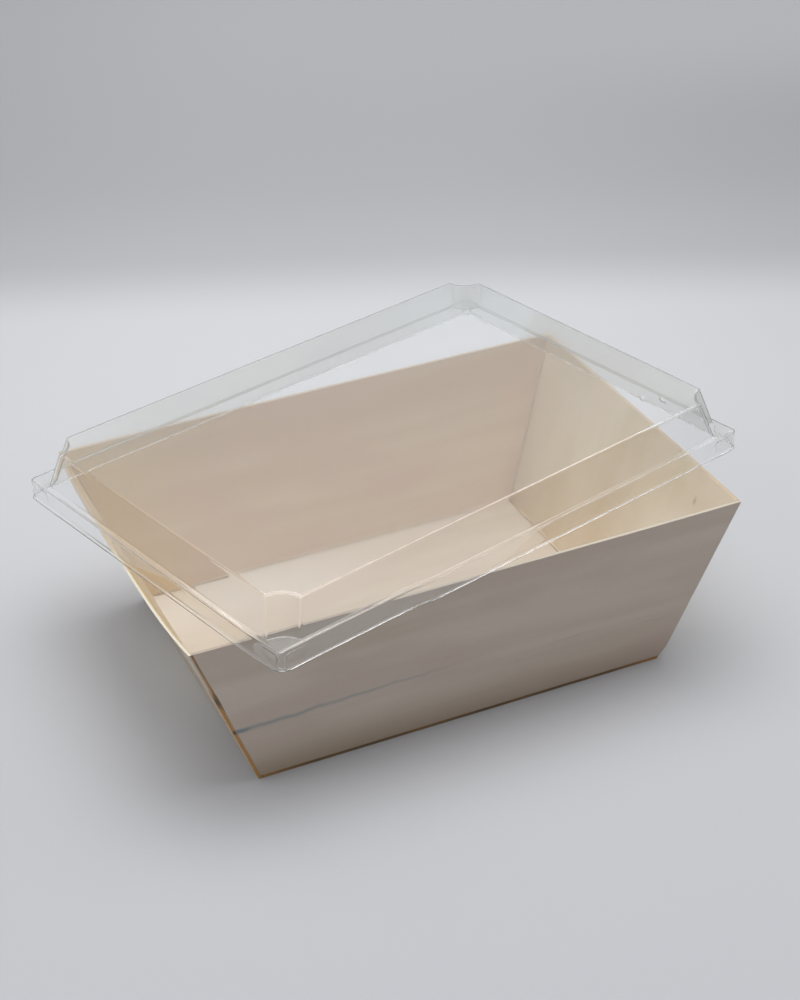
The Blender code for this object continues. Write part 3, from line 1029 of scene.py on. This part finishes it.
# %% [markdown]
# The lid is one sheet, drawn over a mould while hot: a flat deck, a leaning wall with scooped corners,
# a narrow flange and a skirt with snap lugs. Its surface is a loft: closed outlines at falling heights,
# all with the same number of points, joined ring to ring. Bends are short arcs of rings, which give
# the fine bright lines that make clear plastic readable.

# %% Lid sizes
lid_low, lid_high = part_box("lid")
LID_SHEET = 0.00045
SKIRT_CLEARANCE = 0.0009
FLANGE_FLAT = 0.00095
WALL_DRAFT = 0.0032
SKIRT_DROP = 0.0071
DECK_RISE = lid_high.z - lid_low.z - SKIRT_DROP
DECK_CORNER_CUT = 0.0081
WALL_FOOT_CORNER_CUT = 0.0070
CORNER_SCOOP = 0.0020
CREASE = 0.0010
FLANGE_CORNER_RADIUS = 0.0013
SKIRT_CORNER_RADIUS = 0.0016
DECK_EDGE_BEND = 0.00065
WALL_FOOT_BEND = 0.00045
FLANGE_EDGE_BEND = 0.0002
LIP_BEND = 0.0005
LIP_FLAT = 0.0002
LIP_CORNER_RADIUS = 0.0038
LIP_END_RADIUS = 0.0004
LIP_END_TURN = math.radians(60)
LIP_END_STEPS = 4
LUG_LENGTH = 0.0090
LUG_DEPTH = 0.0006
LUG_RAMP = 0.0018
LUG_LOW_SHARES = (0.04, 0.36)
LUG_HIGH_SHARES = (0.58, 0.92)
LID_TURN = math.radians(15.8)
LID_SHIFT_BACK = 0.0030

FLANGE_HALF_LENGTH = RIM_HALF_LENGTH + SKIRT_CLEARANCE + LID_SHEET
FLANGE_HALF_WIDTH = RIM_HALF_WIDTH + SKIRT_CLEARANCE + LID_SHEET
WALL_TURN = math.pi / 2 - math.atan2(WALL_DRAFT, DECK_RISE)
DECK_EDGE_RADIUS = DECK_EDGE_BEND + LID_SHEET
FLANGE_EDGE_RADIUS = FLANGE_EDGE_BEND + LID_SHEET
DECK_EDGE_ROLL = DECK_EDGE_RADIUS * math.tan(WALL_TURN / 2)
WALL_FOOT_ROLL = WALL_FOOT_BEND * math.tan(WALL_TURN / 2)
WALL_INSET = FLANGE_EDGE_RADIUS + FLANGE_FLAT + WALL_FOOT_ROLL
DECK_INSET = WALL_INSET + WALL_DRAFT
print("deck rises", round(DECK_RISE, 4), "wall leans", round(90 - math.degrees(WALL_TURN), 1), "degrees")

# %% [markdown]
# An outline is four sides and four corners. A skirt corner is a plain round. A wall corner is scooped:
# an arc that curves in towards the middle, and at each end of it a small rounded crease, which the
# photograph shows as a pair of upright lines. Both kinds have the same count of points.

# %% Lid outlines
CORNER_STEPS = 16
CREASE_STEPS = 6
ROUND_STEPS = 7
SIDE_STEPS = 26
LUG_RAMP_STEPS = 4
CORNER_POINTS = CORNER_STEPS + 1 + 2 * CREASE_STEPS
DIMPLE_HALF = 0.0024
DIMPLE_DEPTH = 0.0011
DIMPLE_STEPS = 6
DIMPLES = ((-0.0265, 0.0012), (-0.0365, 0.0048))


def round_corner(a, b, radius):
    """Convex corner of a rectangle with half sizes a and b, from its +X side to its +Y side."""
    points = []
    for k in range(CORNER_POINTS):
        angle = math.pi / 2 * k / (CORNER_POINTS - 1)
        x = a - radius + radius * math.cos(angle)
        y = b - radius + radius * math.sin(angle)
        points.append(Vector((x, y)))
    return points


def creased(before, corner, after):
    """A small round between two directions, as a curve that leaves and meets them smoothly."""
    points = []
    for k in range(CREASE_STEPS):
        t = k / CREASE_STEPS
        points.append(before * (1 - t) ** 2 + corner * (2 * t * (1 - t)) + after * t ** 2)
    return points


def scooped_corner(a, b, cut):
    """The same corner cut off along a shallow arc, with a crease at each end of the arc."""
    chord = cut * math.sqrt(2)
    radius = chord ** 2 / (8 * CORNER_SCOOP) + CORNER_SCOOP / 2
    half_angle = math.asin(chord / (2 * radius))
    crease_angle = CREASE / radius
    outward = Vector((1, 1)).normalized()
    across = Vector((-1, 1)).normalized()
    centre = Vector((a - cut / 2, b - cut / 2)) + outward * (radius * math.cos(half_angle))

    def on_arc(angle):
        return centre - outward * (radius * math.cos(angle)) + across * (radius * math.sin(angle))

    first = Vector((a, b - cut))
    last = Vector((a - cut, b))
    inner = half_angle - crease_angle
    arc = [on_arc(inner * (2 * k / CORNER_STEPS - 1)) for k in range(CORNER_STEPS + 1)]
    entry = creased(first - Vector((0, CREASE)), first, arc[0])
    leaving = creased(last - Vector((CREASE, 0)), last, arc[-1])
    return entry + arc + list(reversed(leaving))


print("points in a corner:", CORNER_POINTS)

# %% [markdown]
# Along each side an outline has its stations: close together over the two lugs next to the corners,
# even between them. A lug is a dent in the skirt, deep in its middle and ramped on all four sides, so
# it is one smooth formula of the distance along the side and of the height.

# %% Lid rings


def smooth(value, low, high):
    """0 at low, 1 at high, smooth between."""
    share = min(1.0, max(0.0, (value - low) / (high - low)))
    return share * share * (3 - 2 * share)


def side_stations(half_straight, extra_places):
    """Places along a straight side from its + end to its - end, as shares of its half length."""
    ramp = [LUG_RAMP * k / LUG_RAMP_STEPS for k in range(1, LUG_RAMP_STEPS + 1)]
    near = ramp + [LUG_LENGTH / 2] + [LUG_LENGTH - d for d in reversed([0, *ramp])]
    ends = [half_straight - d for d in near]
    inner = ends[-1]
    middle = [inner - 2 * inner * k / SIDE_STEPS for k in range(1, SIDE_STEPS)]
    places = ends + middle + [-e for e in reversed(ends)] + extra_places
    return [p / half_straight for p in sorted(places, reverse=True)]


def lug_along(share, half_straight):
    """Depth of the lug at a station, from 0 to 1."""
    d = half_straight * (1 - abs(share))
    return smooth(d, 0, LUG_RAMP) * (1 - smooth(d, LUG_LENGTH - LUG_RAMP, LUG_LENGTH))


def lug_up(share):
    """Depth of the lug at a share of the skirt's height, from 0 to 1."""
    return smooth(share, *LUG_LOW_SHARES) * (1 - smooth(share, *LUG_HIGH_SHARES))


def dimple_stations():
    """Close stations on the short sides, over the two dimples."""
    steps = range(-DIMPLE_STEPS, DIMPLE_STEPS + 1)
    places = [along + DIMPLE_HALF * k / DIMPLE_STEPS for along, up in DIMPLES for k in steps]
    return places + [-place for place in places]


HALF_STRAIGHTS = (FLANGE_HALF_LENGTH - SKIRT_CORNER_RADIUS, FLANGE_HALF_WIDTH - SKIRT_CORNER_RADIUS)
STATIONS = (side_stations(HALF_STRAIGHTS[0], []), side_stations(HALF_STRAIGHTS[1], dimple_stations()))


def outline(a, b, corner, z, lug=0.0):
    """One closed ring of the lid, counter-clockwise from the end of its +X side."""
    points = []
    for quadrant, (sx, sy) in enumerate(((1, 1), (-1, 1), (-1, -1), (1, -1))):
        arc = [(sx * p.x, sy * p.y) for p in corner]
        if sx * sy < 0:
            arc.reverse()
        points += arc
        side = quadrant % 2
        reach = abs(corner[0].y) if side else abs(corner[-1].x)
        for share in STATIONS[side]:
            inset = lug * lug_along(share, HALF_STRAIGHTS[side])
            if side:
                points.append((sx * (a - inset), sy * share * reach))
            else:
                points.append((sx * share * reach, sy * (b - inset)))
    return [Vector((x, y, z)) for x, y in points]


def wall_ring(inset, z):
    """Ring of the deck, its wall or the wall's foot, with scooped corners."""
    a = FLANGE_HALF_LENGTH - inset
    b = FLANGE_HALF_WIDTH - inset
    share = (z - SKIRT_DROP) / DECK_RISE
    cut = WALL_FOOT_CORNER_CUT + (DECK_CORNER_CUT - WALL_FOOT_CORNER_CUT) * share
    return outline(a, b, scooped_corner(a, b, cut), z)


def skirt_ring(inset, z, radius, lug=0.0):
    """Ring of the flange, the skirt or the lip, with round corners."""
    a = FLANGE_HALF_LENGTH - inset
    b = FLANGE_HALF_WIDTH - inset
    return outline(a, b, round_corner(a, b, radius), z, lug)


print("stations on a long side:", len(STATIONS[0]))

# %% [markdown]
# The rings go down the profile in order: the deck's rolled edge, the wall, the wall's foot, the flange
# and its edge, the skirt with its lugs, and the lip, which turns out and rolls down a little at the
# trimmed edge. The deck itself is a few shrinking copies of the first ring, so that it can carry a
# faint warp.

# %% Lid profile
SKIRT_RINGS = 22
WALL_RINGS = 16
DECK_SHARES = (0.22, 0.44, 0.64, 0.80, 0.92, 0.97, 0.988, 0.996)
SKIRT_BLEND_FROM = 0.80


def turns(angle, count=ROUND_STEPS):
    """Even steps of a turn, from 0 to the whole angle."""
    return [angle * k / count for k in range(count + 1)]


def bend(ring, angles, inset, height, radius):
    """Rings round a bend of the profile. With a radius below 0 it curves the other way."""
    return [ring(inset - radius * math.sin(a), height + radius * math.cos(a)) for a in angles]


def between(upper, lower, count):
    """Even rings between two, without the two themselves."""
    shares = [k / count for k in range(1, count)]
    return [[a.lerp(b, share) for a, b in zip(upper, lower)] for share in shares]


def flange_ring(inset, z):
    return skirt_ring(inset, z, FLANGE_CORNER_RADIUS)


def skirt_rings():
    low = LID_SHEET + LIP_BEND
    high = SKIRT_DROP - FLANGE_EDGE_RADIUS
    rings = []
    for k in range(1, SKIRT_RINGS):
        share = 1 - k / SKIRT_RINGS
        blend = smooth(share, SKIRT_BLEND_FROM, 1.0)
        radius = SKIRT_CORNER_RADIUS + (FLANGE_CORNER_RADIUS - SKIRT_CORNER_RADIUS) * blend
        rings.append(skirt_ring(0, low + (high - low) * share, radius, LUG_DEPTH * lug_up(share)))
    return rings


def lip_rings():
    """The lip: it turns out on a growing corner radius, and its trimmed end rolls down."""
    rings = []
    for k, angle in enumerate(turns(math.pi / 2)):
        z = LID_SHEET + LIP_BEND * (1 - math.sin(angle))
        radius = SKIRT_CORNER_RADIUS + (LIP_CORNER_RADIUS - SKIRT_CORNER_RADIUS) * k / ROUND_STEPS
        rings.append(skirt_ring(-LIP_BEND * (1 - math.cos(angle)), z, radius))
    for angle in turns(LIP_END_TURN, LIP_END_STEPS):
        out = LIP_BEND + LIP_FLAT + LIP_END_RADIUS * math.sin(angle)
        z = LID_SHEET - LIP_END_RADIUS * (1 - math.cos(angle))
        rings.append(skirt_ring(-out, z, LIP_CORNER_RADIUS + out - LIP_BEND))
    return rings


def lid_rings():
    """All rings, from the deck's middle to the end of the lip."""
    top = SKIRT_DROP + DECK_RISE
    slant = turns(WALL_TURN)
    edge = bend(wall_ring, slant, DECK_INSET + DECK_EDGE_ROLL, top - DECK_EDGE_RADIUS, DECK_EDGE_RADIUS)
    low = SKIRT_DROP + WALL_FOOT_BEND
    foot = bend(wall_ring, slant[::-1], WALL_INSET - WALL_FOOT_ROLL, low, -WALL_FOOT_BEND)
    low = SKIRT_DROP - FLANGE_EDGE_RADIUS
    flange = bend(flange_ring, turns(math.pi / 2), FLANGE_EDGE_RADIUS, low, FLANGE_EDGE_RADIUS)
    deck = [[Vector((0, 0, top)).lerp(p, share) for p in edge[0]] for share in DECK_SHARES]
    wall = between(edge[-1], foot[0], WALL_RINGS)
    return deck + edge + wall + foot + flange + skirt_rings() + lip_rings()


print("rings:", len(lid_rings()))

# %% [markdown]
# The real lid is springy and lies loose, so its near left edge stands about a millimetre higher than
# a stiff one would, and its deck is not a perfect plane. Two small dimples press into its right skirt.
# All are moved in as smooth amounts. The sheet then gets its thickness from a Solidify modifier, which
# keeps it even round every bend.

# %% Lid
DIMPLE_STRETCH = 1.9
FLEX_RISE = 0.0012
FLEX_FROM = -0.036
FLEX_FULL = -0.052
FLEX_DEPTH = 0.020
DECK_WARP = 0.00010
DECK_WARPS_PER_METRE = 26


def dimpled(point):
    """A point of the lid, moved inwards if it lies in a dimple of the right skirt."""
    if point.x < FLANGE_HALF_LENGTH - FLANGE_EDGE_RADIUS or point.z > SKIRT_DROP:
        return point
    depth = 0
    for along, up in DIMPLES:
        away = math.hypot(point.y - along, (point.z - up) * DIMPLE_STRETCH) / DIMPLE_HALF
        depth += DIMPLE_DEPTH * (1 - smooth(away, 0, 1))
    return point - Vector((depth, 0, 0))


def flexed(point):
    """Where a point of the stiff lid lies on the springy one."""
    point = dimpled(point)
    height_share = max(0.0, (point.z - SKIRT_DROP) / DECK_RISE)
    near = 1 - smooth(point.y, -FLANGE_HALF_WIDTH, -FLANGE_HALF_WIDTH + FLEX_DEPTH)
    rise = FLEX_RISE * smooth(point.x, FLEX_FROM, FLEX_FULL) * near * max(0.0, 1 - height_share)
    warp = noise.noise(Vector((point.x, point.y, 0)) * DECK_WARPS_PER_METRE) - 1
    return point + Vector((0, 0, rise + DECK_WARP * warp * height_share))


def lid_surface():
    """The lid's outer surface, turned and shifted to where the lid lies."""
    bm = bmesh.new()
    rows = [[bm.verts.new(flexed(point)) for point in ring] for ring in lid_rings()]
    middle = bm.verts.new(flexed(Vector((0, 0, SKIRT_DROP + DECK_RISE))))
    count = len(rows[0])
    for k in range(count):
        bm.faces.new((middle, rows[0][k], rows[0][(k + 1) % count]))
    for upper, lower in zip(rows, rows[1:]):
        for k in range(count):
            after = (k + 1) % count
            bm.faces.new((upper[k], lower[k], lower[after], upper[after]))
    turn = Matrix.Rotation(LID_TURN, 4, "Z")
    bm.transform(Matrix.Translation((0, LID_SHIFT_BACK, lid_low.z)) @ turn)
    return bm


lid = add_mesh("clear_lid", lid_surface())
lid.data.shade_smooth()
thickness = lid.modifiers.new("sheet", "SOLIDIFY")
thickness.thickness = LID_SHEET
thickness.offset = -1
thickness.use_even_offset = True
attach(lid, "lid")
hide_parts("lid")
print("lid faces:", len(lid.data.polygons))

# %% [markdown]
# Clear sheet is a Principled shader that lets light through, with the bend of polyester and a very
# light haze. The walls were stretched most when the sheet was formed, and on the lid's far side they
# are hazier and their bends are softer. There their colour is also painted a little darker, as painted
# shade for the dark room that those walls reflect. Rays to the lamps, and rays that only carry soft
# light, pass straight through a plain Transparent shader instead, so the wood under the lid is lit
# without speckles.

# %% Clear finish
PLASTIC_BEND = 1.575
PLASTIC_TINT = (0.985, 0.99, 0.985)
CLEAR_ROUGHNESS = 0.02
HAZE_LUMPS = (60, 3.0, 0.6)
HAZE_ROUGHNESS = 0.03
FLOW_LUMPS = (190, 1.0)
FLOW_BUMP = (0.04, 0.0002)
FAR_SIDE = Vector((0.39153, 0.92016))
FAR_WALL_SHADE = (0.868, 0.882, 0.872)
WALL_HAZE = 0.09
WALL_TINT_SPAN = (0.8, 0.4)
FAR_WALL_SPAN = (-0.012, 0.030)
BEND_TILTS = (0.62, 0.36)
BEND_HAZE = 0.40
AWAY_SPAN = (-0.03, 0.015)
UPPER_SPAN = (-0.00045, -0.0001)
SHEET_PASS = (0.943, 0.946, 0.943)


def clear_finish():
    clear = Finish("clear_sheet")
    x, y, z = clear.place().parts()
    tilt = clear.facing().parts()[2].size()
    run = x * FAR_SIDE.x + y * FAR_SIDE.y
    # Painted shade: the far walls are darkened a little, and made hazier.
    far_walls = tilt.ramp(*WALL_TINT_SPAN) * run.ramp(*FAR_WALL_SPAN)
    upper = (z - (lid_low.z + SKIRT_DROP)).ramp(*UPPER_SPAN)
    soft = tilt.hump(*BEND_TILTS) * run.ramp(*AWAY_SPAN) * upper
    haze = CLEAR_ROUGHNESS + clear.lumps(*HAZE_LUMPS) * HAZE_ROUGHNESS
    inputs = {"Base Color": clear.mix(far_walls, PLASTIC_TINT, FAR_WALL_SHADE)}
    inputs["Roughness"] = haze + far_walls * WALL_HAZE + soft * BEND_HAZE
    inputs["Normal"] = clear.bump(clear.lumps(*FLOW_LUMPS), *FLOW_BUMP)
    material = clear.finished({**inputs, "Transmission Weight": 1.0, "IOR": PLASTIC_BEND})
    surface = Value(clear, clear.shader.outputs["BSDF"])
    through = clear.node("BsdfTransparent", {}, {"Color": SHEET_PASS})
    for kind in ("Diffuse", "Shadow"):
        surface = clear.node("MixShader", {}, {0: clear.ray(kind), 1: surface, 2: through})
    clear.feed(clear.tree.nodes["Material Output"], {"Surface": surface})
    return material


lid.data.materials.append(clear_finish())
print("clear finish on", lid.name)

# %% [markdown]

# %% End
print("scene dressed")
